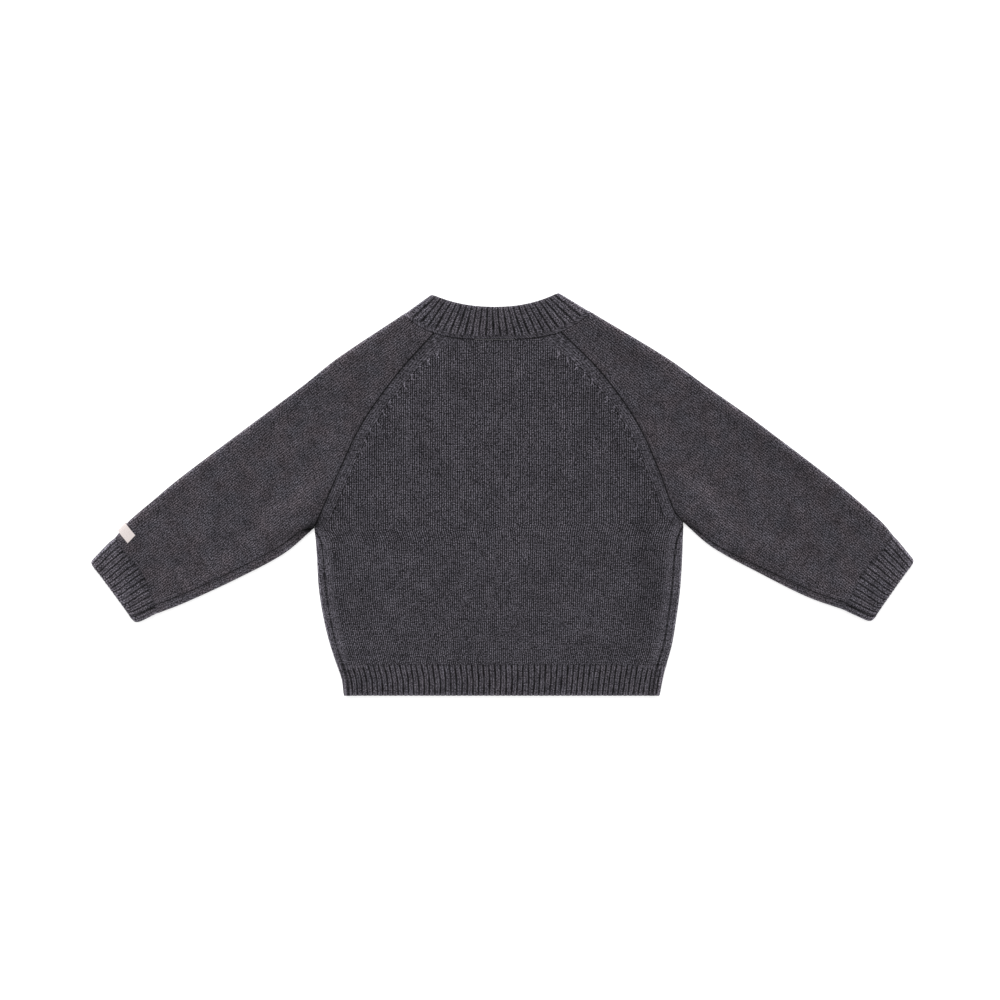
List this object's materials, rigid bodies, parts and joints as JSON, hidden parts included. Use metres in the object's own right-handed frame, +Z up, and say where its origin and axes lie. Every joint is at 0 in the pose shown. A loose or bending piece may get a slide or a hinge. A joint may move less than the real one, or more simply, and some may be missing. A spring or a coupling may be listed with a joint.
{
  "type": "merino sweater",
  "caption": "Child's long-sleeved raglan pullover in fine dark grey merino, laid flat with its back up, with ribbed neckband, hem and cuffs.",
  "frame": {"origin": "the middle of the laid-out garment in plan, on the surface that it lies on", "axes": "+X across the chest from the left cuff to the right cuff, +Y from the hem towards the neck, +Z up from the surface, out of the garment's back"},
  "size_m": [0.7832, 0.3828, 0.0085],
  "materials": {
    "jersey": "fine plain-knit merino in charcoal marl, matt, with a light nap",
    "rib": "ribbed merino in charcoal marl, matt",
    "tape": "plain cream woven tape"
  },
  "bodies": {
    "root": {"front_panel": "jersey", "back_panel": "jersey", "sleeve_left": "jersey", "sleeve_right": "jersey", "hem_rib_front": "rib", "hem_rib_back": "rib", "cuff_left": "rib", "cuff_right": "rib", "neckband": "rib", "wrist_label": "tape"}
  },
  "joints": []
}
